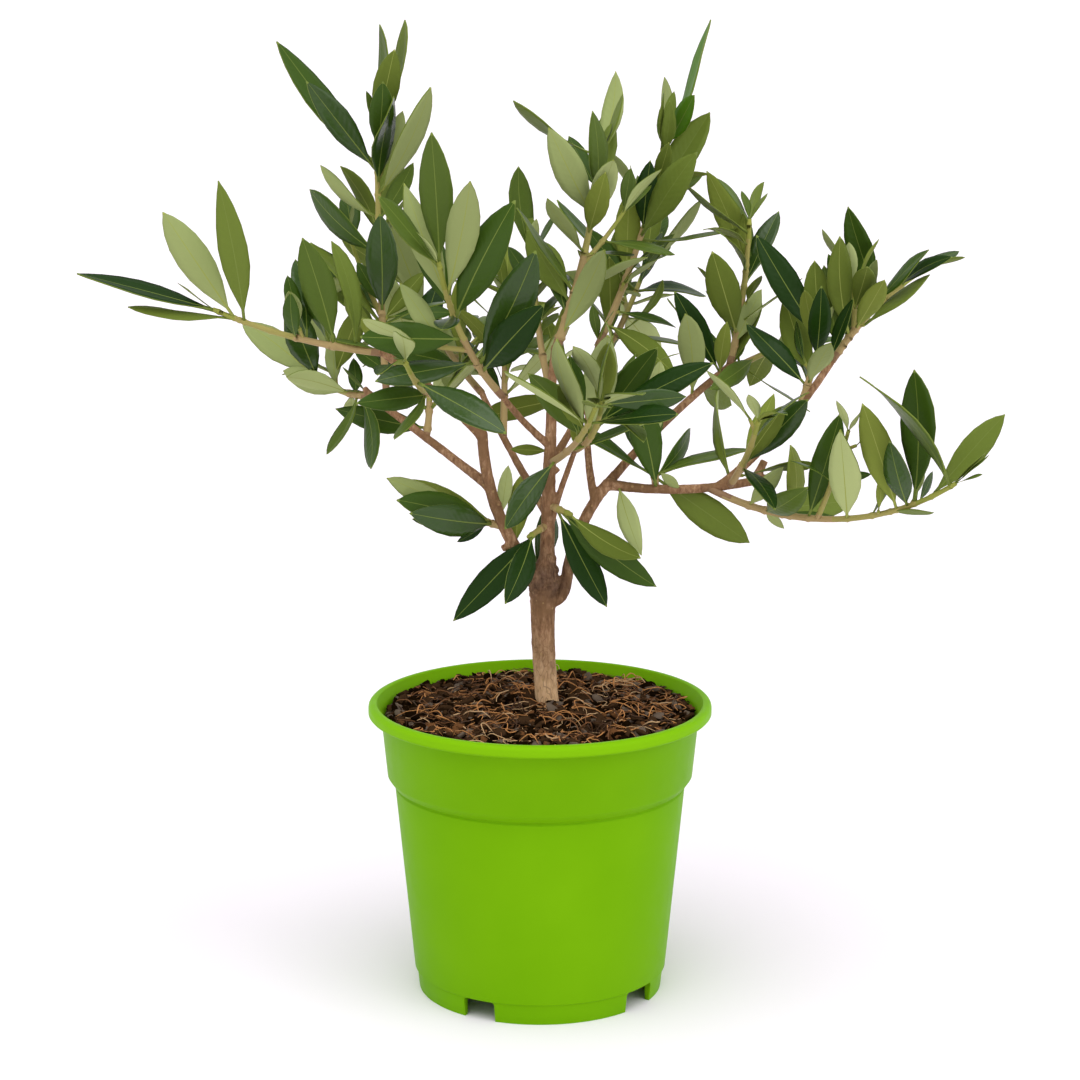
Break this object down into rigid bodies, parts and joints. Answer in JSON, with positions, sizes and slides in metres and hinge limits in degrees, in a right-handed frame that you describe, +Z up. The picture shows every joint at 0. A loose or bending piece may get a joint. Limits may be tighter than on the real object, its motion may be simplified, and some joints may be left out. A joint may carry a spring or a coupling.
{
  "type": "young olive tree in a nursery pot",
  "caption": "Young olive tree with a slim branching trunk and an open crown of narrow grey-green leaves, rooted in a round green nursery pot.",
  "frame": {"origin": "the middle of the plant's footprint box, on the surface that the pot stands on, which lies on the pot's axis within 3 mm", "axes": "+Z up along the pot's axis, +X to the right and -Y to the front of the view that shows the crown at its widest"},
  "size_m": [0.3609, 0.2187, 0.393],
  "materials": {
    "pot": "bright green moulded plastic, satin gloss",
    "soil": "dark peat and coir compost",
    "wood": "grey-brown bark",
    "leaf": "dark green leaves, paler beneath"
  },
  "bodies": {
    "root": {"pot": "pot", "soil": "soil", "trunk": "wood", "bough_left": "wood", "bough_left_arm": "wood", "bough_left_low": "wood", "bough_left_inner": "wood", "bough_right_elbow": "wood", "bough_right": "wood", "bough_right_arm": "wood", "bough_right_upper": "wood", "bough_right_back": "wood", "bough_right_limb": "wood", "bough_middle": "wood", "bough_back_left": "wood", "bough_back_right": "wood", "foliage_top": "leaf", "foliage_left_tall": "leaf", "foliage_left_reach": "leaf", "foliage_left_low": "leaf", "foliage_left_inner": "leaf", "foliage_front": "leaf", "foliage_middle": "leaf", "foliage_right_back": "leaf", "foliage_right_up": "leaf", "foliage_right_end": "leaf", "foliage_right_tip": "leaf", "foliage_right_fill": "leaf", "foliage_right_reach": "leaf", "foliage_right_near": "leaf", "foliage_right_inner": "leaf", "foliage_low_left": "leaf", "foliage_low_right": "leaf", "foliage_left_skirt": "leaf", "foliage_left_hang": "leaf", "foliage_left_back": "leaf", "foliage_back_left": "leaf", "foliage_back_middle": "leaf", "foliage_back_right": "leaf", "foliage_back_low": "leaf", "foliage_back_top": "leaf"}
  },
  "joints": []
}
